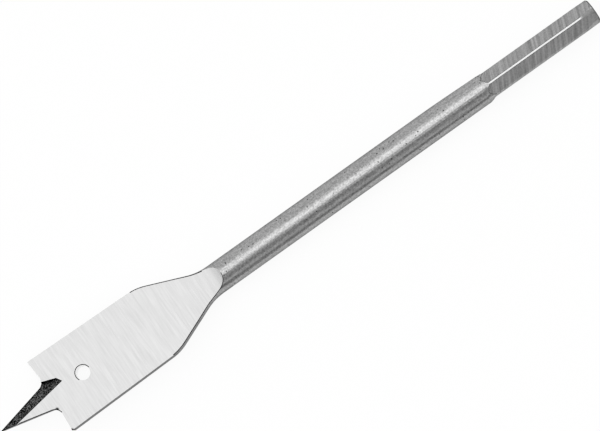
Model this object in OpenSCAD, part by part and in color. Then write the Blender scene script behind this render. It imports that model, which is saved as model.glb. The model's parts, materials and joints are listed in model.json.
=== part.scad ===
// Spade drill bit with a hexagonal shank, forged and ground from one bar of steel.
// It lies at rest: the shaft and one edge of the blade touch the surface at z = 0.
// X runs along the bit, from the point at the -X end to the shank at the +X end.

/* [Overall] */
// Length from the tip of the point to the end of the shank
overall_len = 175.6; // [160:0.2:220]

/* [Blade] */
// Width across the outer corners of the two lips
blade_w = 20; // [15:0.5:26]
// Thickness between the two ground faces
blade_t = 3.1; // [2.2:0.1:4]
// Length of a side, from the outer corner of its lip to the corner of the shoulder
side_len = 32.4; // [24:0.2:38]
// Lean of each side towards the axis, so that only the lips rub, in degrees
back_taper = 1.1; // [0.2:0.1:1.5]
// Slope of the shoulders down to the shaft, in degrees
shoulder_slope = 22; // [18:1:35]
// Radius of the rounded corner between a side and its shoulder
shoulder_round = 12.5; // [2:0.5:16]
// Radius of the hollow where a shoulder runs out into the shaft
neck_fillet = 13.5; // [4:0.5:18]
// Radius of the wheel that ground the faces, seen where they climb out of the shaft
face_runout = 10; // [8:0.5:24]
// Distance from the foot of the shoulders to the round end of a ground face
tongue_len = 5; // [3:0.2:8]

/* [Point and lips] */
// How far the point stands ahead of the outer corners of the lips
point_len = 14.6; // [10:0.1:20]
// Angle between the axis and each edge of the point, in degrees
point_angle = 13.5; // [10:0.5:18]
// Radius in the corner between the point and a lip
root_fillet = 2.2; // [0.4:0.1:2.4]
// How far a lip leads towards its outer corner, in degrees
lip_lead = 4.5; // [0:0.5:10]
// Relief of the ground lips and point edges behind their cutting edge, in degrees
lip_relief = 7; // [4:1:14]

/* [Gashes] */
// Slope of the facet that is ground into each half of the point, in degrees
gash_slope = 28; // [22:1:40]
// How far a gash reaches behind the outer corners of the lips
gash_reach = 4.8; // [3.5:0.1:6]
// Distance from the axis to the inner end of a gash
gash_offset = 1.3; // [0.8:0.05:1.8]
// Angle between the axis and the upper edge of a facet, in degrees
gash_line = 8.8; // [6:0.2:11]
// Length of the short wall at the inner end of a gash
gash_nose_len = 1.7; // [1:0.05:2.4]
// Angle between the axis and the short wall, in degrees
gash_nose_angle = 59; // [40:1:75]
// Angle between the axis and the long wall that runs out at the lip, in degrees
gash_wall_angle = 20; // [12:0.5:28]

/* [Pull hole] */
// Diameter of the hole through the blade
hole_d = 3.7; // [2:0.1:5]
// Distance from the outer corners of the lips to the centre of the hole
hole_set = 10; // [8:0.1:14]

/* [Shaft] */
// Diameter of the round shaft
shaft_d = 7.6; // [6:0.05:9]

/* [Hex shank] */
// Size of the hexagon across its flats
hex_af = 6.35; // [5.5:0.05:8]
// Length of the hexagon, with the ramps at its start
hex_len = 32.8; // [24:0.2:45]
// Width of the round land left along each corner of the hexagon
hex_land = 0.44; // [0.2:0.02:0.8]
// Turn of the hexagon against the blade, in degrees
hex_turn = 5.5; // [-30:0.5:30]
// Length of the ramps where the flats start
hex_ramp = 1.7; // [1:0.1:4]
// Length of the long shallow run-out ahead of one flat
run_len = 16; // [8:1:24]
// Depth of that run-out where it meets its flat
run_dip = 0.5; // [0.1:0.05:0.6]
// Length of the slim cone at the end of the shank
end_taper_len = 4; // [2:0.1:6]
// Slope of that cone, in degrees
end_taper_angle = 4.5; // [2:0.5:6]
// Chamfer round the end face
end_chamfer = 0.35; // [0.1:0.05:0.8]

/* [Hidden] */

$fn = 96;
// Steps in an arc that is worked out point by point
arc_steps = 12;
// Length by which a cutter runs past what it cuts
margin = 2;
// Height outside the steel at which a slanting cut starts
lead_in = 0.05;
// Place round the hole where its wall starts and ends, away from the bit's middle plane, in degrees
hole_turn = 22.5;
// Turn from the line along which the shaft rests to where the outline of the blank starts, in degrees
blank_turn = 4.3;

shaft_r = shaft_d / 2;
half_t = blade_t / 2;
half_w = blade_w / 2;

// Corner of the shoulder, and the foot where its slope would meet the shaft
corner_x = point_len + side_len;
corner_r = half_w - side_len * tan(back_taper);
foot_x = corner_x + (corner_r - shaft_r) / tan(shoulder_slope);

// The rounded corner starts just outside the corner of the blade's section
round_r = norm([corner_r, half_t]) + lead_in;
round_x = corner_x - (round_r - corner_r) / tan(shoulder_slope) - shoulder_round * tan(shoulder_slope / 2);
neck_x = foot_x + neck_fillet * tan(shoulder_slope / 2);

// Place where the faces start to climb, so that they leave the shaft at the end of the tongue
climb = shaft_r - half_t;
climb_x = foot_x + tongue_len - sqrt(climb * (2 * face_runout - climb));

// Hexagon: its flats, the cylinder that trims its corners, and the cone at its end
hex_r = hex_af / 2;
hex_x = overall_len - hex_len;
land_axis_r = hex_r / cos(30) - hex_land / 2 * tan(30);
hex_corner_r = norm([land_axis_r, hex_land / 2]);
end_r = hex_corner_r - end_taper_len * tan(end_taper_angle);
widest_r = max(shaft_r, hex_corner_r);

// The lips and point edges are cut by a sheet of space that leans by the relief angle.
// Lengths along the axis are measured in that sheet, so they shorten by its cosine.
lip_axis_x = (point_len + half_t * tan(lip_relief) + half_w * tan(lip_lead)) * cos(lip_relief);
root_x = lip_axis_x / (1 + tan(point_angle) * tan(lip_lead));
root_y = root_x * tan(point_angle);
root_half_angle = (90 + point_angle - lip_lead) / 2;
root_centre_angle = 90 + lip_lead + root_half_angle;
root_centre = [root_x, root_y]
    + root_fillet / sin(root_half_angle) * [cos(root_centre_angle), sin(root_centre_angle)];

// Inner end of a gash, and the corner between its two walls
gash_end = [point_len + gash_reach, gash_offset];
gash_corner = gash_end + gash_nose_len * [-cos(gash_nose_angle), sin(gash_nose_angle)];

// Roll about the axis at which the shaft and a corner of the blade both touch the surface
rest_roll = asin(shaft_r / norm([half_w, half_t])) - atan2(half_t, half_w);

// Points of an arc from one angle to another
function arc(centre, radius, from, to) =
    [for (i = [0 : arc_steps]) centre + radius * [cos(from + (to - from) * i / arc_steps),
                                                  sin(from + (to - from) * i / arc_steps)]];

// Half of the turned and forged form, as [distance along the axis, radius]
function blank_profile() = concat(
    [[-margin / 2, 0], [-margin / 2, half_w + margin]],
    arc([round_x, round_r - shoulder_round], shoulder_round, 90, 90 - shoulder_slope),
    arc([neck_x, shaft_r + neck_fillet], neck_fillet, 270 - shoulder_slope, 270),
    [[hex_x, shaft_r],
     [hex_x + hex_ramp / 2, hex_corner_r],
     [overall_len - end_taper_len, hex_corner_r],
     [overall_len - end_chamfer, end_r + end_chamfer * tan(end_taper_angle)],
     [overall_len, end_r - end_chamfer],
     [overall_len, 0]]);

// Repeat a cut half a turn round the axis, for the other face and lip
module both_halves() {
    for (turn = [0, 180])
        rotate([turn, 0, 0])
            children();
}

// Round bar with the flare that becomes the shoulders of the blade.
// Its outline starts to turn beside the line along which the shaft will rest.
module blank() {
    rotate([rest_roll + blank_turn, 0, 0])
        rotate([0, 90, 0])
            rotate_extrude()
                polygon([for (p = blank_profile()) [p[1], p[0]]]);
}

// Space beside one straight side of the blade
module side_space() {
    start_w = half_w + (point_len + margin) * tan(back_taper);
    end_w = half_w - (foot_x - point_len) * tan(back_taper);
    linear_extrude(blade_w, center = true)
        polygon([[-margin, start_w], [foot_x, end_w], [foot_x, blade_w], [-margin, blade_w]]);
}

// Space in front of one ground face, with the round end that the wheel leaves
module face_space() {
    rotate([90, 0, 0])
        linear_extrude(2 * blade_w, center = true) {
            translate([-margin, half_t])
                square([climb_x + margin, blade_w]);
            translate([climb_x, half_t + face_runout])
                circle(face_runout, $fn = 180);
        }
}

// Space ahead of one lip and beside one edge of the point
module lip_space() {
    outer_y = half_w + margin;
    rotate([0, lip_relief, 0])
        linear_extrude(2 * blade_w, center = true)
            polygon(concat(
                [[-margin, -margin * tan(point_angle)]],
                arc(root_centre, root_fillet, point_angle - 90, lip_lead),
                [[lip_axis_x - outer_y * tan(lip_lead), outer_y], [-margin, outer_y]]));
}

// Gash in one half of the point: a sloping facet with a wall at its inner end
module gash_space() {
    past_end = gash_end + margin * [cos(gash_nose_angle), -sin(gash_nose_angle)];
    intersection() {
        linear_extrude(2 * blade_w, center = true)
            polygon([[-margin, -half_w],
                     past_end,
                     gash_corner,
                     [-margin, gash_corner[1] + (gash_corner[0] + margin) * tan(gash_wall_angle)]]);
        translate([gash_end[0], gash_end[1], half_t])
            rotate([0, 0, gash_line])
                rotate([-gash_slope, 0, 0])
                    translate([-2 * blade_w, 0, 0])
                        cube([3 * blade_w, blade_w, blade_w]);
    }
}

// Space outside one flat of the hexagon, with the ramp at its start
module flat_space() {
    outside = widest_r + margin;
    rotate([90, 0, 0])
        linear_extrude(2 * shaft_d, center = true)
            polygon([[hex_x, widest_r + lead_in],
                     [hex_x + hex_ramp, hex_r],
                     [overall_len + margin, hex_r],
                     [overall_len + margin, outside],
                     [hex_x, outside]]);
}

// Space over the long shallow run-out ahead of one flat
module run_space() {
    rotate([90, 0, 0])
        linear_extrude(2 * shaft_d, center = true)
            polygon([[hex_x - run_len, shaft_r + lead_in],
                     [hex_x + hex_ramp, shaft_r - run_dip],
                     [hex_x + hex_ramp, shaft_r + margin],
                     [hex_x - run_len, shaft_r + margin]]);
}

// The whole bit, straight along X with its faces level
module bit() {
    difference() {
        blank();
        both_halves() {
            side_space();
            face_space();
            lip_space();
            gash_space();
        }
        translate([point_len + hole_set, 0, 0])
            rotate([0, 0, hole_turn])
                cylinder(h = 2 * blade_t, d = hole_d, center = true);
        for (i = [0 : 5])
            rotate([hex_turn + 30 + 60 * i, 0, 0])
                flat_space();
        rotate([hex_turn - 90, 0, 0])
            run_space();
    }
}

// The bit as it comes to rest, over the middle of its own length
module spade_bit() {
    color([0.72, 0.72, 0.72])
        translate([-overall_len / 2, 0, shaft_r])
            rotate([-rest_roll, 0, 0])
                bit();
}

spade_bit();
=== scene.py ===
# %% [markdown]
# A spade drill bit, dressed for its picture. The bit is one piece of steel: a flat ground blade
# with a long point, a round shaft and a hexagonal shank. Its form is settled in the CAD frame,
# so this lesson is about finish. The same steel looks different where it was drawn, ground,
# milled or gashed, and each of those finishes gets a material of its own.

# %% Load the frame
import json
import math

import bmesh
import bpy
from mathutils import Matrix, Vector


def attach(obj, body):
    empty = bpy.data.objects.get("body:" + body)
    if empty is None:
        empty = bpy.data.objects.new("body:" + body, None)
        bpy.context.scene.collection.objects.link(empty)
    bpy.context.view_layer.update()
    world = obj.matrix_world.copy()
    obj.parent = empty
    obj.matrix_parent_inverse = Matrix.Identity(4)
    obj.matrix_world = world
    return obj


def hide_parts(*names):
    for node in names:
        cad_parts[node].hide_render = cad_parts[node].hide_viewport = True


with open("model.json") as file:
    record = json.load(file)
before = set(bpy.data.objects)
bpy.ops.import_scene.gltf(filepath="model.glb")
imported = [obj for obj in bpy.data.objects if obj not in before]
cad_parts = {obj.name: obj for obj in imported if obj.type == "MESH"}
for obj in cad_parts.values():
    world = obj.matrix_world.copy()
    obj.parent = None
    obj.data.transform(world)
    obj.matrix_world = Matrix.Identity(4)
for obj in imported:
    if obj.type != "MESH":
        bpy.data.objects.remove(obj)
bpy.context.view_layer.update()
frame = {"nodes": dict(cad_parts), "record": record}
MM = 0.001

# %% [markdown]
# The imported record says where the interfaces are, and everything below is placed from them.
# The pull hole's axis is the blade's normal, and the round shaft's mount gives the bit's axis
# and the two places where the plain shaft starts and ends. Reading them here, instead of writing
# the numbers again, keeps the finish in place when a size of the bit is changed.

# %% Read the bit's own directions and places
mounts = {mount["name"]: mount for mount in frame["record"]["mounts"]}
axis_dir = Vector(mounts["round_shaft"]["axis"])
axis_point = Vector(mounts["round_shaft"]["pos_m"])
blade_normal = Vector(mounts["pull_hole"]["axis"]).normalized()
blade_across = blade_normal.cross(axis_dir).normalized()
hole_centre = Vector(mounts["pull_hole"]["pos_m"])
hole_r = mounts["pull_hole"]["dims"]["r_mm"] * MM
shaft_r = mounts["round_shaft"]["dims"]["r_mm"] * MM
shaft_half = mounts["round_shaft"]["dims"]["length_mm"] * MM / 2
shaft_start = axis_point.x - shaft_half
shaft_end = axis_point.x + shaft_half
shank_end_x = mounts["shank_end"]["pos_m"][0]
print("shaft from", round(shaft_start / MM, 1), "to", round(shaft_end / MM, 1), "mm along the bit")

# %% [markdown]
# The camera looks almost straight down on the middle of the bit, from eighty centimetres and
# through a long lens, so that blade and shank keep their true proportions. A camera is easiest
# to place by three things: where it stands, what it aims at, and how far it is turned about its
# own view. Here the turn lays the bit along the picture's diagonal.

# %% Place the camera
image_width_px = 600
focal_px = 3302.4
sensor_mm = 36.0
camera_place = Vector((2.37, 42.28, 800.0)) * MM
camera_aim = Vector((1.39, 0.76, 3.8)) * MM
camera_turn = math.radians(35.47)
nearest_seen = 0.01
farthest_seen = 20.0

camera_data = bpy.data.cameras.new("camera")
camera_data.sensor_width = sensor_mm
camera_data.lens = focal_px / image_width_px * sensor_mm
camera_data.clip_start = nearest_seen
camera_data.clip_end = farthest_seen
camera = bpy.data.objects.new("camera", camera_data)
bpy.context.scene.collection.objects.link(camera)
back = (camera_place - camera_aim).normalized()
wanted_right = Vector((math.cos(camera_turn), -math.sin(camera_turn), 0.0))
up = back.cross(wanted_right).normalized()
right = up.cross(back)
turned = Matrix((right, up, back)).transposed().to_4x4()
camera.matrix_world = Matrix.Translation(camera_place) @ turned
bpy.context.scene.camera = camera
print("lens", round(camera_data.lens, 1), "mm")

# %% [markdown]
# Light and materials are both built from nodes. One small helper adds a node and fills it in the
# same line: a name that the node has as a setting is set there, and any other name is taken as
# one of its inputs. That keeps every effect below short enough to read at a glance.

# %% Add a node in one line


def add_node(tree, kind, **values):
    """A node of that kind, with its settings and the values of its named inputs."""
    node = tree.nodes.new(kind)
    for name, value in values.items():
        if hasattr(node, name):
            setattr(node, name, value)
        else:
            node.inputs[name.replace("_", " ")].default_value = value
    return node


def neutral(level):
    """A grey of that level, in the form that a colour input holds."""
    return (level, level, level, 1.0)


white = neutral(1.0)
print("white is", white)

# %% [markdown]
# Polished steel has hardly any colour of its own: it shows what stands around it. So the
# studio is made first. Around the bit runs a tent whose brightness changes only with the angle
# across the bit, counted from straight up. A wide soft box hangs where the flat blade mirrors it
# to the camera. A strip of cloth on the other side draws a fainter band along the round shaft,
# between two gaps that give the shaft its dark flank. Lamps could do the same, but a smooth curve
# has no edges that would show up in the steel. Each pair of the plan is an angle in degrees and
# the brightness there, so the light is easy to change.

# %% Plan the light tent
TENT = [(-180, 0.60), (-100, 0.70), (-76, 0.35), (-54, 0.78), (-32, 0.44), (-15, 0.59), (0, 1.20),
        (10, 1.83), (22, 2.00), (30, 1.88), (45, 1.27), (60, 0.98), (90, 0.87), (180, 0.60)]
full_circle = 360
straight_up = 0.5
tent_peak = max(level for _, level in TENT)


def tent_curve(tree):
    """A curve that turns a share of the full circle into a share of the tent's peak."""
    node = add_node(tree, "ShaderNodeFloatCurve")
    points = node.mapping.curves[0].points
    spots = [(degrees / full_circle + straight_up, level / tent_peak) for degrees, level in TENT]
    points[0].location = spots[0]
    points[-1].location = spots[-1]
    for spot in spots[1:-1]:
        points.new(*spot)
    node.mapping.update()
    return node


print("tent levels from", min(level for _, level in TENT), "to", tent_peak)

# %% [markdown]
# The plan goes into the world's nodes. Only the two directions across the bit count, so the angle
# is the arc tangent of Y over Z. The camera itself sees plain white in place of the tent: Light
# Path tells its rays from those that light the steel.

# %% Hang the light tent


def hang_tent():
    """World light that depends only on the angle from straight up, across the bit."""
    world = bpy.data.worlds.new("light_tent")
    world.use_nodes = True
    tree = world.node_tree
    tree.nodes.clear()
    place = add_node(tree, "ShaderNodeTexCoord")
    parts = add_node(tree, "ShaderNodeSeparateXYZ")
    angle = add_node(tree, "ShaderNodeMath", operation="ARCTAN2")
    share = add_node(tree, "ShaderNodeMapRange", From_Min=-math.pi, From_Max=math.pi)
    curve = tent_curve(tree)
    light = add_node(tree, "ShaderNodeBackground", Strength=tent_peak)
    plain = add_node(tree, "ShaderNodeBackground", Color=white)
    ray = add_node(tree, "ShaderNodeLightPath")
    mix = add_node(tree, "ShaderNodeMixShader")
    out = add_node(tree, "ShaderNodeOutputWorld")
    tree.links.new(place.outputs["Generated"], parts.inputs[0])
    tree.links.new(parts.outputs["Y"], angle.inputs[0])
    tree.links.new(parts.outputs["Z"], angle.inputs[1])
    tree.links.new(angle.outputs[0], share.inputs["Value"])
    tree.links.new(share.outputs["Result"], curve.inputs["Value"])
    tree.links.new(curve.outputs[0], light.inputs["Color"])
    tree.links.new(ray.outputs["Is Camera Ray"], mix.inputs["Fac"])
    tree.links.new(light.outputs[0], mix.inputs[1])
    tree.links.new(plain.outputs[0], mix.inputs[2])
    tree.links.new(mix.outputs[0], out.inputs["Surface"])
    bpy.context.scene.world = world
    return world


tent = hang_tent()
bpy.context.scene.view_settings.view_transform = "Standard"
print("world:", tent.name)

# %% [markdown]
# The floor is a plain white sheet. To the camera and to the steel it glows most of its white
# by itself, so that it reads as clean paper, and the rest of it is lit by the tent, so that the
# bit still has a soft shadow under it. More light on a grey floor would also turn it white, but
# it would burn out the blade at the same time.

# %% Lay the floor
floor_half = 2.0
floor_glow = 0.92
floor_white = 0.90


def white_paper():
    """Matt paper that shows most of its white to the camera and in the steel without being lit."""
    material = bpy.data.materials.new("white_paper")
    material.use_nodes = True
    tree = material.node_tree
    tree.nodes.clear()
    matt = add_node(tree, "ShaderNodeBsdfDiffuse", Color=neutral(floor_white))
    glow = add_node(tree, "ShaderNodeEmission")
    ray = add_node(tree, "ShaderNodeLightPath")
    either = add_node(tree, "ShaderNodeMath", operation="MAXIMUM")
    any_seen = add_node(tree, "ShaderNodeMath", operation="MAXIMUM")
    share = add_node(tree, "ShaderNodeMath", operation="MULTIPLY")
    share.inputs[1].default_value = floor_glow
    mix = add_node(tree, "ShaderNodeMixShader")
    out = add_node(tree, "ShaderNodeOutputMaterial")
    tree.links.new(ray.outputs["Is Camera Ray"], either.inputs[0])
    tree.links.new(ray.outputs["Is Glossy Ray"], either.inputs[1])
    tree.links.new(either.outputs[0], any_seen.inputs[0])
    tree.links.new(ray.outputs["Is Transmission Ray"], any_seen.inputs[1])
    tree.links.new(any_seen.outputs[0], share.inputs[0])
    tree.links.new(share.outputs[0], mix.inputs["Fac"])
    tree.links.new(matt.outputs[0], mix.inputs[1])
    tree.links.new(glow.outputs[0], mix.inputs[2])
    tree.links.new(mix.outputs[0], out.inputs["Surface"])
    return material


floor_form = bmesh.new()
bmesh.ops.create_grid(floor_form, x_segments=1, y_segments=1, size=floor_half)
floor_mesh = bpy.data.meshes.new("floor")
floor_form.to_mesh(floor_mesh)
floor_form.free()
floor_mesh.materials.append(white_paper())
floor = bpy.data.objects.new("floor", floor_mesh)
bpy.context.scene.collection.objects.link(floor)
print("floor", 2 * floor_half, "m wide")

# %% [markdown]
# The bit's own mesh is a copy of the CAD node. The frame holds loose triangles, so the copy is
# merged first, and its flat patches are then dissolved into whole faces. A whole face is easier
# to sort by finish than a fan of slivers, and it can be inset later.

# %% Copy and clean the bit
weld_distance = 0.001 * MM
flat_angle = math.radians(0.4)


def copy_of_node(name):
    """The CAD node's mesh, merged and with its flat patches made whole."""
    form = bmesh.new()
    form.from_mesh(frame["nodes"][name].data)
    bmesh.ops.remove_doubles(form, verts=form.verts[:], dist=weld_distance)
    bmesh.ops.dissolve_limit(form, angle_limit=flat_angle, verts=form.verts[:], edges=form.edges[:])
    return form


bit_form = copy_of_node("spade_bit")
print("faces when merged:", len(bit_form.faces))

# %% [markdown]
# Rings are cut round the shaft with bisect_plane, which adds edges and removes nothing. Without
# them one long face would run from the blade to the shank, and a small tilt in the shading at one
# end would be smeared along the whole length. One more ring lies just past the ramps, where the
# corners of the hexagon come out of the round bar.

# %% Cut rings round the shaft
ring_step = 3.0 * MM
ring_margin = 0.4 * MM
ramp_length = 1.9 * MM
on_plane = 0.0001 * MM

ringed_length = 2 * (shaft_half - ring_margin)
ring_count = round(ringed_length / ring_step)
ring_places = [shaft_start + ring_margin + ringed_length * i / ring_count for i in range(ring_count + 1)]
for ring_x in ring_places + [shaft_end + ramp_length]:
    ring_place = Vector((ring_x, axis_point.y, axis_point.z))
    whole = bit_form.verts[:] + bit_form.edges[:] + bit_form.faces[:]
    bmesh.ops.bisect_plane(bit_form, geom=whole, plane_co=ring_place, plane_no=axis_dir, dist=on_plane)
print("faces with", ring_count + 2, "rings:", len(bit_form.faces))

# %% [markdown]
# Two places on the blade aren't in the record and are measured on the mesh: how far forward the
# outer corners of the lips stand, and how wide the blade is. Both use the distance across the
# blade from the bit's axis.

# %% Measure the blade
beyond_shaft = 2 * shaft_r


def aside_of(spot):
    """Distance of a spot from the bit's axis, across the blade."""
    return (spot - axis_point).dot(blade_across)


lip_x = min(vert.co.x for vert in bit_form.verts if abs(aside_of(vert.co)) > beyond_shaft)
half_width = max(abs(aside_of(vert.co)) for vert in bit_form.verts)
print("lips at", round(lip_x / MM, 2), "mm along the bit, blade", round(2 * half_width / MM, 2), "mm wide")

# %% [markdown]
# Next every face is told which finish it has. A maker would see it at once from how the face
# was made, and the script sees it from the face's normal and place. On the blade, the ground faces
# look along the blade's normal, the facets of the gashes lean away from it, the gashes' walls and
# the hole's wall stand upright, the lips face the point and the ground edges face aside. What is
# left of the blade was forged.

# %% Sort the faces of the blade
hole_reach = 1.05 * hole_r
gash_half_width = 3 * hole_r
gash_before_hole = 1.0 * MM
gash_end_x = hole_centre.x - gash_before_hole
lip_depth = 2.0 * MM
lip_end_x = lip_x + lip_depth
least_face_lean = math.cos(math.radians(42))
most_face_twist = 0.02
least_gash_lean = math.cos(math.radians(45))
most_gash_lean = math.cos(math.radians(20))
most_wall_lean = 0.1
most_edge_lean = 0.2
least_lip_forward = 0.975
least_edge_aside = 0.985


def blade_finish(face, middle):
    """Name of the finish of a face on the blade, with its middle."""
    lean = abs(face.normal.dot(blade_normal))
    sideways = abs(face.normal.dot(blade_across))
    from_hole = middle - hole_centre
    from_hole -= from_hole.dot(blade_normal) * blade_normal
    if from_hole.length < hole_reach and lean < most_wall_lean:
        return "drilled_wall"
    if lean > least_face_lean and sideways < most_face_twist:
        return "ground_face"
    in_gash = middle.x < gash_end_x and abs(aside_of(middle)) < gash_half_width
    if in_gash and least_gash_lean < lean < most_gash_lean:
        return "gash_facet"
    # The gashes' walls take the black of painted shade.
    if in_gash and lean < most_wall_lean and middle.x > lip_x:
        return "burnt_line"
    if middle.x < lip_end_x and abs(face.normal.x) > least_lip_forward:
        return "honed_lip"
    if lean < most_edge_lean and (sideways > least_edge_aside or middle.x < lip_end_x):
        return "ground_edge"
    return "drawn_shaft"


print("gashes are looked for up to", round(gash_end_x / MM, 1), "mm along the bit")

# %% [markdown]
# On the shank the hexagon's flats were milled, and the narrow lands between them are what is left
# of the round bar. A flat is told from a land by its span: seen from the axis, a flat turns away
# from its normal by many degrees, and a land hardly at all. Only the lands that look up and down
# get a painted highlight, and the slim cone and the end face were turned last.

# %% Sort all the faces
FINISHES = ["drawn_shaft", "ground_face", "gash_facet", "milled_flat", "polished_land", "ground_edge",
            "honed_lip", "turned_end", "drilled_wall", "burnt_line"]
cone_length = 4.0 * MM
cone_x = shank_end_x - cone_length
least_flat_span = math.radians(6)
least_ridge_level = math.cos(math.radians(20))
least_end_forward = 0.3


def is_flat(face):
    """True where a face of the shank lies on one of the hexagon's flats or their ramps."""
    spans = [(vert.co - axis_point).yz.angle(face.normal.yz) for vert in face.verts]
    return max(spans) > least_flat_span


def shank_finish(face, middle):
    """Name of the finish of a face on the shaft or the shank, with its middle."""
    on_ridge = abs(face.normal.z) > least_ridge_level
    if middle.x > cone_x:
        return "turned_end" if on_ridge or abs(face.normal.x) > least_end_forward else "milled_flat"
    # Lands that look up and down take the painted highlight.
    if middle.x > shaft_end + ramp_length:
        return "polished_land" if on_ridge and not is_flat(face) else "milled_flat"
    if middle.x > shaft_end and is_flat(face):
        return "milled_flat"
    return "drawn_shaft"


counts = {name: 0 for name in FINISHES}
for face in bit_form.faces:
    face_middle = face.calc_center_median()
    sort = blade_finish if face_middle.x < shaft_start + ring_margin else shank_finish
    finish_name = sort(face, face_middle)
    face.material_index = FINISHES.index(finish_name)
    counts[finish_name] += 1
print("faces by finish:", counts)

# %% [markdown]
# Painted shade darkens two corners: where each lip meets the point, and each lip's outer corner,
# on the trailing side of the blade, away from the soft box. The first corner is found on the mesh as
# the place where a lip reaches furthest back, and the middle of its shade lies a little ahead of
# it and towards the axis.

# %% Find the shaded corners
root_shade_ahead = 0.9 * MM
root_shade_inside = 1.5 * MM
root_shade_reach = 1.8 * MM
lip_shade_reach = 1.6 * MM

lips = [face for face in bit_form.faces if face.material_index == FINISHES.index("honed_lip")]
deepest = max((vert.co for lip in lips for vert in lip.verts), key=lambda spot: spot.x)
root_x = deepest.x
root_aside = abs(aside_of(deepest))
shaded_corners = [(root_x - root_shade_ahead, root_aside - root_shade_inside, root_shade_reach),
                 (lip_x, half_width, lip_shade_reach)]
print("a lip meets the point", round(root_aside / MM, 2), "mm beside the axis, at", round(root_x / MM, 2))

# %% [markdown]
# Some edges of the bit carry a thin dark line of painted shade: where a ground face runs out
# against the rough shoulder, round the gashes, along the trailing edge of the point and round
# part of the hole's mouth, standing in for the shaded wall of the hole. A dark hairline of
# painted shade runs beside the flats of the hexagon. This cell says where a ground face has its
# lines: all along the shoulders, and elsewhere only on the trailing side, the side away from the
# soft box, which is the same side of both faces when the bit is turned over.

# %% Say where the lines are
tongue_tip = 3.5 * MM
trailing_margin = 0.12 * MM
mouth_turn = math.radians(110)
mouth_way = Vector((math.cos(mouth_turn), math.sin(mouth_turn)))
mouth_limit = math.cos(math.radians(105))


def is_lined(rim, neighbour):
    """True where a ground face has a dark line beside a face of this other finish."""
    spot = rim.calc_center_median()
    if neighbour == "drawn_shaft" and spot.x < shaft_start - tongue_tip:
        return True
    upper_or_lower = math.copysign(1.0, (spot - axis_point).dot(blade_normal))
    aside = upper_or_lower * aside_of(spot)
    if neighbour == "drilled_wall":
        from_hole = Vector((spot.x - hole_centre.x, aside))
        return from_hole.normalized().dot(mouth_way) > mouth_limit
    if neighbour == "ground_edge" and abs(aside) > beyond_shaft:
        return False
    return aside < -trailing_margin


print("soot round", round(2 * math.degrees(math.acos(mouth_limit))), "degrees of the hole's mouth")

# %% [markdown]
# A line could be painted by a texture, but that would need a map of every edge. Here it is drawn
# with geometry: the faces of one finish are inset by the line's width, and the part of the rim
# that borders on another finish turns dark. The rim lies in the face it was cut from, so the form
# stays the same. Last, edges that turn by more than a dozen degrees are marked sharp, and the level
# faces of the blade are shaded flat, so that they mirror the tent evenly.

# %% Draw the dark lines
rim_width = {"ground_face": 0.20 * MM, "gash_facet": 0.24 * MM, "milled_flat": 0.10 * MM}
LINES = {"ground_face": {"drawn_shaft", "ground_edge", "drilled_wall"},
         "gash_facet": {"ground_face", "honed_lip", "ground_edge", "burnt_line"},
         "milled_flat": {"polished_land", "drawn_shaft"}}
sharp_angle = math.radians(12)
least_level_lean = 0.9999


def draw_rim(form, finish):
    """Inset the faces of one finish, and darken the rim beside the finishes that leave a line."""
    region = [face for face in form.faces if face.material_index == FINISHES.index(finish)]
    rims = bmesh.ops.inset_region(form, faces=region, thickness=rim_width[finish],
                                  use_boundary=True, use_even_offset=True)["faces"]
    own = set(region) | set(rims)
    dark = 0
    for rim in rims:
        outside = {face for edge in rim.edges for face in edge.link_faces} - own
        neighbours = {FINISHES[face.material_index] for face in outside} & LINES[finish]
        lined = any(finish != "ground_face" or is_lined(rim, name) for name in neighbours)
        # A lined rim takes the black of the painted shade.
        rim.material_index = FINISHES.index("burnt_line" if lined else finish)
        dark += lined
    return dark


dark_counts = {finish: draw_rim(bit_form, finish) for finish in LINES}
for edge in bit_form.edges:
    edge.smooth = edge.calc_face_angle() < sharp_angle
for face in bit_form.faces:
    face.smooth = abs(face.normal.dot(blade_normal)) < least_level_lean
print("dark rim faces:", dark_counts)

# %% [markdown]
# Drawing, grinding and milling all leave fine parallel scratches. One node group makes them for
# every finish: it is noise that is squeezed in one direction, so that it stretches into lines in
# the others. An image could hold scratches too, but noise needs no unwrapping and no file. A group
# is built once, and each material places it with values of its own.

# %% Build the shared scratches
scratch_detail = 3.0
scratch_roughness = 0.6


def new_group(name, values, masks):
    """An empty shader node group: a vector and named values go in, and named masks come out."""
    group = bpy.data.node_groups.new(name, "ShaderNodeTree")
    group.interface.new_socket("Vector", in_out="INPUT", socket_type="NodeSocketVector")
    for label, value in values.items():
        socket = group.interface.new_socket(label, in_out="INPUT", socket_type="NodeSocketFloat")
        socket.default_value = value
    for label in masks:
        group.interface.new_socket(label, in_out="OUTPUT", socket_type="NodeSocketFloat")
    return group, group.nodes.new("NodeGroupInput"), group.nodes.new("NodeGroupOutput")


def scratch_group():
    """Parallel scratches across X: fine ones, and broad bands that vary along the piece."""
    values = {"Fine": 2000.0, "Broad": 600.0, "Length": 0.1}
    group, given, made = new_group("scratches", values, ["Fine", "Broad"])
    links = group.links
    squeeze = add_node(group, "ShaderNodeCombineXYZ", X=1.0)
    stretch = add_node(group, "ShaderNodeVectorMath", operation="MULTIPLY")
    links.new(given.outputs["Length"], squeeze.inputs["Y"])
    links.new(given.outputs["Length"], squeeze.inputs["Z"])
    links.new(given.outputs["Vector"], stretch.inputs[0])
    links.new(squeeze.outputs[0], stretch.inputs[1])
    for label in ("Fine", "Broad"):
        noise = add_node(group, "ShaderNodeTexNoise", Detail=scratch_detail, Roughness=scratch_roughness)
        links.new(stretch.outputs[0], noise.inputs["Vector"])
        links.new(given.outputs[label], noise.inputs["Scale"])
        links.new(noise.outputs["Fac"], made.inputs[label])
    return group


scratches = scratch_group()
print("shared effect:", scratches.name)

# %% [markdown]
# Rolled steel has small round pits where scale was pressed into it. A Voronoi texture cuts space
# into cells, and each cell holds one pit round its middle. The cell's random colour decides
# whether the pit is there at all, so that they lie scattered and not in rows.

# %% Build the shared pits
pit_core = 0.5


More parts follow.
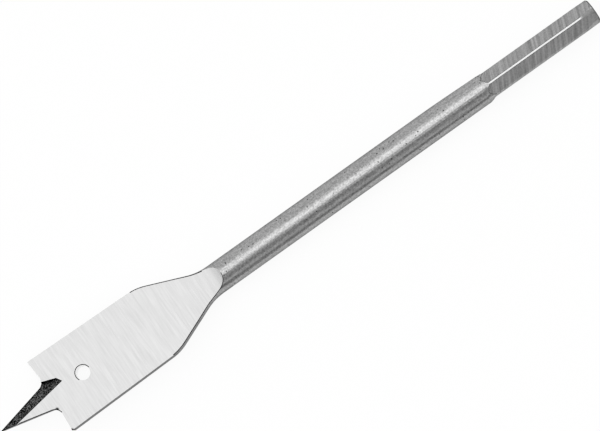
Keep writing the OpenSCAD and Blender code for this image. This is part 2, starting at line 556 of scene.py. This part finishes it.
def pit_group():
    """Round pits scattered through the steel, as a mask that is 1 inside a pit."""
    values = {"Density": 1000.0, "Size": 0.2, "Share": 0.3}
    group, given, made = new_group("pits", values, ["Mask"])
    links = group.links
    cells = add_node(group, "ShaderNodeTexVoronoi", Randomness=1.0)
    inside = add_node(group, "ShaderNodeMapRange", interpolation_type="SMOOTHSTEP", To_Min=1.0, To_Max=0.0)
    chance = add_node(group, "ShaderNodeSeparateColor")
    chosen = add_node(group, "ShaderNodeMath", operation="LESS_THAN")
    both = add_node(group, "ShaderNodeMath", operation="MULTIPLY")
    core = add_node(group, "ShaderNodeMath", operation="MULTIPLY")
    core.inputs[1].default_value = pit_core
    links.new(given.outputs["Vector"], cells.inputs["Vector"])
    links.new(given.outputs["Density"], cells.inputs["Scale"])
    links.new(cells.outputs["Distance"], inside.inputs["Value"])
    links.new(given.outputs["Size"], core.inputs[0])
    links.new(core.outputs[0], inside.inputs["From Min"])
    links.new(given.outputs["Size"], inside.inputs["From Max"])
    links.new(cells.outputs["Color"], chance.inputs[0])
    links.new(chance.outputs[0], chosen.inputs[0])
    links.new(given.outputs["Share"], chosen.inputs[1])
    links.new(inside.outputs[0], both.inputs[0])
    links.new(chosen.outputs[0], both.inputs[1])
    links.new(both.outputs[0], made.inputs["Mask"])
    return group


pits = pit_group()
print("shared effect:", pits.name)

# %% [markdown]
# The painted shade in a corner is a soft round spot, which both the ground faces and the edges
# beside them show. The bit repeats itself half a turn round its axis, so the group turns the lower
# half over before it measures: one spot then marks the same corner on both sides.

# %% Build the shared spot of painted shade


def corner_shade_group():
    """A round spot of painted shade on the trailing half of each face of the blade, as a mask that is 1 at
    its middle.
    """
    values = {"Along": 0.0, "Aside": 0.0, "Radius": 1.0 * MM}
    group, given, made = new_group("soot_spot", values, ["Mask"])
    links = group.links
    parts = add_node(group, "ShaderNodeSeparateXYZ")
    far_along = add_node(group, "ShaderNodeMath", operation="SUBTRACT")
    half = add_node(group, "ShaderNodeMath", operation="SIGN")
    turned_over = add_node(group, "ShaderNodeMath", operation="MULTIPLY")
    far_aside = add_node(group, "ShaderNodeMath", operation="ADD")
    offset = add_node(group, "ShaderNodeCombineXYZ")
    distance = add_node(group, "ShaderNodeVectorMath", operation="LENGTH")
    fade = add_node(group, "ShaderNodeMapRange", interpolation_type="SMOOTHSTEP", To_Min=1.0, To_Max=0.0)
    links.new(given.outputs["Vector"], parts.inputs[0])
    links.new(parts.outputs["X"], far_along.inputs[0])
    links.new(given.outputs["Along"], far_along.inputs[1])
    links.new(parts.outputs["Z"], half.inputs[0])
    links.new(parts.outputs["Y"], turned_over.inputs[0])
    links.new(half.outputs[0], turned_over.inputs[1])
    links.new(turned_over.outputs[0], far_aside.inputs[0])
    links.new(given.outputs["Aside"], far_aside.inputs[1])
    links.new(far_along.outputs[0], offset.inputs["X"])
    links.new(far_aside.outputs[0], offset.inputs["Y"])
    links.new(offset.outputs[0], distance.inputs[0])
    links.new(distance.outputs["Value"], fade.inputs["Value"])
    links.new(given.outputs["Radius"], fade.inputs["From Max"])
    links.new(fade.outputs[0], made.inputs["Mask"])
    return group


soot_spot = corner_shade_group()
print("shared effect:", soot_spot.name)

# %% [markdown]
# A finish is one Principled shader that is all metal. What changes over the surface is its grey,
# its roughness and a little bump. The steel's own colour is neutral: the white on the blade is
# the tent, not paint. These helpers keep each finish to a few lines. Noise seldom leaves the
# middle of its range, so spread stretches that middle over the span that a finish needs.

# %% Make helpers for the finishes
noise_span = (0.3, 0.7)
mask_span = (0.0, 1.0)
grain_roughness = 0.6


def steel(name):
    """A new metal material, with its tree, its shader and the object's coordinates."""
    material = bpy.data.materials.new(name)
    material.use_nodes = True
    tree = material.node_tree
    shader = tree.nodes["Principled BSDF"]
    shader.inputs["Metallic"].default_value = 1.0
    place = add_node(tree, "ShaderNodeTexCoord")
    return material, tree, shader, place.outputs["Object"]


def place_group(tree, group, vector, **values):
    """The shared effect as a node in this material, with its own values."""
    node = add_node(tree, "ShaderNodeGroup", node_tree=group)
    tree.links.new(vector, node.inputs["Vector"])
    for label, value in values.items():
        node.inputs[label].default_value = value
    return node


def grain(tree, vector, scale, detail=2.0):
    """Plain noise, even in all directions."""
    node = add_node(tree, "ShaderNodeTexNoise", Scale=scale, Detail=detail, Roughness=grain_roughness)
    tree.links.new(vector, node.inputs["Vector"])
    return node.outputs["Fac"]


def spread(tree, value, span, source=noise_span):
    """A value that runs over this span as its source runs over its own."""
    node = add_node(tree, "ShaderNodeMapRange", From_Min=source[0], From_Max=source[1],
                    To_Min=span[0], To_Max=span[1])
    tree.links.new(value, node.inputs["Value"])
    return node.outputs["Result"]


def combine(tree, operation, first, second):
    """Two values joined by a sum, a product or another operation."""
    node = add_node(tree, "ShaderNodeMath", operation=operation)
    tree.links.new(first, node.inputs[0])
    tree.links.new(second, node.inputs[1])
    return node.outputs[0]


print("noise is stretched from", noise_span)

# %% [markdown]
# Three more helpers bring the result to the shader. Scale and oxide dull steel most at a glancing
# angle, where clean metal turns white, so a dull finish also gets a darker tint for that angle.

# %% Make helpers for the shader


def colour(tree, shader, level):
    """Let the grey of the steel follow this level."""
    node = add_node(tree, "ShaderNodeCombineColor")
    for socket in node.inputs[:3]:
        tree.links.new(level, socket)
    tree.links.new(node.outputs[0], shader.inputs["Base Color"])


def engrave(tree, shader, height, strength, depth):
    """Let the normal follow this height, as if it were cut that deep."""
    node = add_node(tree, "ShaderNodeBump", Strength=strength, Distance=depth)
    tree.links.new(height, node.inputs["Height"])
    tree.links.new(node.outputs["Normal"], shader.inputs["Normal"])


def dull_glance(shader, level):
    """Set how bright the metal is at a glancing angle."""
    shader.inputs["Specular Tint"].default_value = neutral(level)


finishes = {}
print("finishes to make:", len(FINISHES))

# %% [markdown]
# The shaft is drawn bar and the shoulders are forged: satin and grainy, with streaks along the
# bar and a few dark pits. A scale is counted per metre here, so a grain of 2100 is about half a
# millimetre across. A Length above 1 squeezes the other two directions of the scratches, which
# lays them along the bit. The same noise drives grey, roughness and bump, because on real steel
# they are one and the same unevenness.

# %% Finish the drawn shaft
shaft_streaks = {"Fine": 240.0, "Broad": 900.0, "Length": 9.0}
shaft_pits = {"Density": 1000.0, "Size": 0.24, "Share": 0.26}
shaft_grain = 2100.0
shaft_grey = (0.25, 0.47)
shaft_streak_grey = (-0.035, 0.035)
shaft_pit_grey = (1.0, 0.15)
shaft_roughness = (0.16, 0.24)
shaft_glance = 0.45
shaft_bump = 0.20
shaft_depth = 0.06 * MM


def drawn_shaft():
    """Drawn bar and forged shoulders: satin and grainy, with a few dark pits."""
    material, tree, shader, place = steel("drawn_shaft")
    streaks = place_group(tree, scratches, place, **shaft_streaks).outputs["Fine"]
    holes = place_group(tree, pits, place, **shaft_pits).outputs["Mask"]
    grains = grain(tree, place, shaft_grain)
    level = combine(tree, "ADD", spread(tree, streaks, shaft_streak_grey), spread(tree, grains, shaft_grey))
    clean = spread(tree, holes, shaft_pit_grey, mask_span)
    colour(tree, shader, combine(tree, "MULTIPLY", level, clean))
    tree.links.new(spread(tree, grains, shaft_roughness), shader.inputs["Roughness"])
    dull_glance(shader, shaft_glance)
    height = combine(tree, "SUBTRACT", combine(tree, "ADD", grains, streaks), holes)
    engrave(tree, shader, height, shaft_bump, shaft_depth)
    return material


finishes["drawn_shaft"] = drawn_shaft()
print("finish:", finishes["drawn_shaft"].name)

# %% [markdown]
# The two faces of the blade were ground on a surface grinder, so they are the brightest broad
# part of the bit, with fine scratches straight across. The bit lies rolled on its side, so the
# coordinates are first turned onto the blade's own axes with a Mapping node. The same axes place
# the painted shade at the roots of the lips and at their outer corners.

# %% Finish the ground faces
face_scratches = {"Fine": 2300.0, "Broad": 420.0, "Length": 0.06}
face_grey = (0.415, 0.445)
face_scratch_grey = (-0.030, 0.030)
face_roughness = (0.26, 0.34)
face_bump = 0.05
face_depth = 0.05 * MM
face_shade_reach = 0.75 * MM
face_shade_grey = (1.0, 0.03)
face_shade_span = (0.0, 0.6)


def on_blade_axes(tree, vector):
    """The coordinates along the bit, across the blade and along its normal, from the bit's axis."""
    axes = Matrix((axis_dir, blade_across, blade_normal))
    centre = axes @ Vector((0.0, axis_point.y, axis_point.z))
    node = add_node(tree, "ShaderNodeMapping", Rotation=axes.to_euler(), Location=-centre)
    tree.links.new(vector, node.inputs["Vector"])
    return node.outputs["Vector"]


def ground_face():
    """Surface-ground blade: bright, with fine scratches straight across and painted shade in its corners.
    """
    material, tree, shader, place = steel("ground_face")
    axes = on_blade_axes(tree, place)
    lines = place_group(tree, scratches, axes, **face_scratches)
    level = combine(tree, "ADD", spread(tree, lines.outputs["Fine"], face_scratch_grey),
                    spread(tree, lines.outputs["Broad"], face_grey))
    for along, aside, _ in shaded_corners:
        painted_shade = place_group(tree, soot_spot, axes, Along=along, Aside=aside, Radius=face_shade_reach)
        clean = spread(tree, painted_shade.outputs["Mask"], face_shade_grey, face_shade_span)
        level = combine(tree, "MULTIPLY", level, clean)
    colour(tree, shader, level)
    tree.links.new(spread(tree, lines.outputs["Broad"], face_roughness), shader.inputs["Roughness"])
    engrave(tree, shader, lines.outputs["Fine"], face_bump, face_depth)
    return material


finishes["ground_face"] = ground_face()
print("finish:", finishes["ground_face"].name)

# %% [markdown]
# The sides of the blade and the edges of the point were ground too, but more coarsely, and they
# have dulled since. The painted shade in the corners reaches further on them than on the faces.
# The lips were honed last of all and are the cleanest steel on the bit.

# %% Finish the edges and lips
edge_scratches = {"Fine": 1500.0, "Broad": 600.0, "Length": 0.2}
edge_grey = (0.22, 0.28)
edge_shade_grey = (1.0, 0.04)
edge_roughness = (0.30, 0.40)
edge_glance = 0.5
edge_bump = 0.08
edge_depth = 0.06 * MM
lip_scratches = {"Fine": 1800.0, "Broad": 600.0, "Length": 0.2}
lip_grey = (0.84, 0.90)
lip_roughness = 0.25


def ground_edge():
    """Sides and edges of the point: ground and dulled, with painted shade black in their corners."""
    material, tree, shader, place = steel("ground_edge")
    axes = on_blade_axes(tree, place)
    lines = place_group(tree, scratches, place, **edge_scratches)
    level = spread(tree, lines.outputs["Fine"], edge_grey)
    for along, aside, reach in shaded_corners:
        painted_shade = place_group(tree, soot_spot, axes, Along=along, Aside=aside, Radius=reach)
        clean = spread(tree, painted_shade.outputs["Mask"], edge_shade_grey, mask_span)
        level = combine(tree, "MULTIPLY", level, clean)
    colour(tree, shader, level)
    tree.links.new(spread(tree, lines.outputs["Broad"], edge_roughness), shader.inputs["Roughness"])
    dull_glance(shader, edge_glance)
    engrave(tree, shader, lines.outputs["Fine"], edge_bump, edge_depth)
    return material


def honed_lip():
    """Front of the lips: honed last of all, so the brightest steel on the bit."""
    material, tree, shader, place = steel("honed_lip")
    lines = place_group(tree, scratches, place, **lip_scratches)
    colour(tree, shader, spread(tree, lines.outputs["Fine"], lip_grey))
    shader.inputs["Roughness"].default_value = lip_roughness
    return material


finishes["ground_edge"] = ground_edge()
finishes["honed_lip"] = honed_lip()
print("finishes:", finishes["ground_edge"].name, finishes["honed_lip"].name)

# %% [markdown]
# The gashes beside the point are painted nearly black, rough and speckled. One noise makes the
# specks, with only its upper half stretched, so that most of the facet stays black. The dark lines
# of painted shade along the edges, and the gashes' walls, are the same black without the specks.

# %% Finish the gashes and the dark lines
gash_specks = 2900.0
gash_grey = (0.003, 0.20)
gash_speck_span = (0.45, 0.66)
gash_roughness = (0.45, 0.60)
gash_bump = 0.3
gash_depth = 0.1 * MM
line_shade_grain = 2200.0
line_shade_grey = (0.001, 0.006)
line_shade_roughness = 0.6
dark_glance = 0.1


def gash_facet():
    """Gashes of the point: nearly black, rough and speckled."""
    material, tree, shader, place = steel("gash_facet")
    specks = grain(tree, place, gash_specks)
    colour(tree, shader, spread(tree, specks, gash_grey, gash_speck_span))
    tree.links.new(spread(tree, specks, gash_roughness), shader.inputs["Roughness"])
    dull_glance(shader, dark_glance)
    engrave(tree, shader, specks, gash_bump, gash_depth)
    return material


def burnt_line():
    """Painted shade along an edge: black and rough."""
    material, tree, shader, place = steel("burnt_line")
    colour(tree, shader, spread(tree, grain(tree, place, line_shade_grain), line_shade_grey))
    shader.inputs["Roughness"].default_value = line_shade_roughness
    dull_glance(shader, dark_glance)
    return material


finishes["gash_facet"] = gash_facet()
finishes["burnt_line"] = burnt_line()
print("finishes:", finishes["gash_facet"].name, finishes["burnt_line"].name)

# %% [markdown]
# The flats of the hexagon were milled with a cutter that ran at a slant, so their scratches slant
# too: the coordinates are turned before the shared scratches read them. The lands between them
# are painted a lighter grey, a painted highlight that carries the shaft's bright band on along
# the corners.

# %% Finish the hexagon
flat_scratch_turn = math.radians(25)
flat_scratches = {"Fine": 1800.0, "Broad": 520.0, "Length": 0.04}
flat_grain = 2600.0
flat_grey = (0.29, 0.39)
flat_scratch_grey = (-0.12, 0.12)
flat_roughness = (0.24, 0.34)
flat_glance = 0.5
flat_bump = 0.10
flat_depth = 0.08 * MM
land_grain = 1500.0
land_highlight_grey = (0.43, 0.51)
land_roughness = 0.15


def milled_flat():
    """Flats of the hexagon: duller, with scratches that slant across each flat."""
    material, tree, shader, place = steel("milled_flat")
    slant = add_node(tree, "ShaderNodeMapping", Rotation=(0.0, 0.0, flat_scratch_turn))
    tree.links.new(place, slant.inputs["Vector"])
    lines = place_group(tree, scratches, slant.outputs["Vector"], **flat_scratches)
    grains = grain(tree, place, flat_grain)
    level = combine(tree, "ADD", spread(tree, lines.outputs["Fine"], flat_scratch_grey),
                    spread(tree, grains, flat_grey))
    colour(tree, shader, level)
    tree.links.new(spread(tree, lines.outputs["Broad"], flat_roughness), shader.inputs["Roughness"])
    dull_glance(shader, flat_glance)
    engrave(tree, shader, lines.outputs["Fine"], flat_bump, flat_depth)
    return material


def polished_land():
    """Upper and lower corners of the hexagon: a lighter grey, as a painted highlight."""
    material, tree, shader, place = steel("polished_land")
    colour(tree, shader, spread(tree, grain(tree, place, land_grain), land_highlight_grey))
    shader.inputs["Roughness"].default_value = land_roughness
    return material


finishes["milled_flat"] = milled_flat()
finishes["polished_land"] = polished_land()
print("finishes:", finishes["milled_flat"].name, finishes["polished_land"].name)

# %% [markdown]
# The slim cone at the end of the shank was turned, and it is dull except where the painted highlight
# of the bright corner fades out onto it. That fade follows the place along the bit, so it is a span
# of the X coordinate.
# The wall of the pull hole is bright from the drill.

# %% Finish the shank's end and the hole
fade_length = 1.2 * MM
highlight_fade_grey = (0.40, 0.0)
end_grain = 2200.0
end_grey = (0.15, 0.20)
end_roughness = 0.35
end_glance = 0.3
wall_grain = 2200.0
wall_detail = 3.0
wall_grey = (0.84, 0.92)
wall_roughness = (0.25, 0.40)


def turned_end():
    """Cone, chamfer and face at the end of the shank: turned, and dull beyond the corner's painted
    highlight.
    """
    material, tree, shader, place = steel("turned_end")
    parts = add_node(tree, "ShaderNodeSeparateXYZ")
    tree.links.new(place, parts.inputs[0])
    # The corner's painted highlight fades out along the first part of the cone.
    highlight_fade = spread(tree, parts.outputs["X"], highlight_fade_grey, (cone_x, cone_x + fade_length))
    dull = spread(tree, grain(tree, place, end_grain), end_grey)
    colour(tree, shader, combine(tree, "MAXIMUM", highlight_fade, dull))
    shader.inputs["Roughness"].default_value = end_roughness
    dull_glance(shader, end_glance)
    return material


def drilled_wall():
    """Wall of the pull hole: bright from the drill, and a little uneven."""
    material, tree, shader, place = steel("drilled_wall")
    grains = grain(tree, place, wall_grain, wall_detail)
    colour(tree, shader, spread(tree, grains, wall_grey))
    tree.links.new(spread(tree, grains, wall_roughness), shader.inputs["Roughness"])
    return material


finishes["turned_end"] = turned_end()
finishes["drilled_wall"] = drilled_wall()
print("finishes:", finishes["turned_end"].name, finishes["drilled_wall"].name)

# %% [markdown]
# The finished bit stands for the CAD node and rides on the row's one body. It is still one
# closed mesh: its finishes are material slots on the faces, as they are on the one piece of steel.

# %% Finish the bit
bit_mesh = bpy.data.meshes.new("spade_bit_finished")
bit_form.to_mesh(bit_mesh)
bit_form.free()
for finish_name in FINISHES:
    bit_mesh.materials.append(finishes[finish_name])
bit = bpy.data.objects.new("spade_bit_finished", bit_mesh)
bpy.context.scene.collection.objects.link(bit)
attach(bit, "root")
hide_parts("spade_bit")
print("bit:", len(bit_mesh.vertices), "vertices,", len(bit_mesh.polygons), "faces")
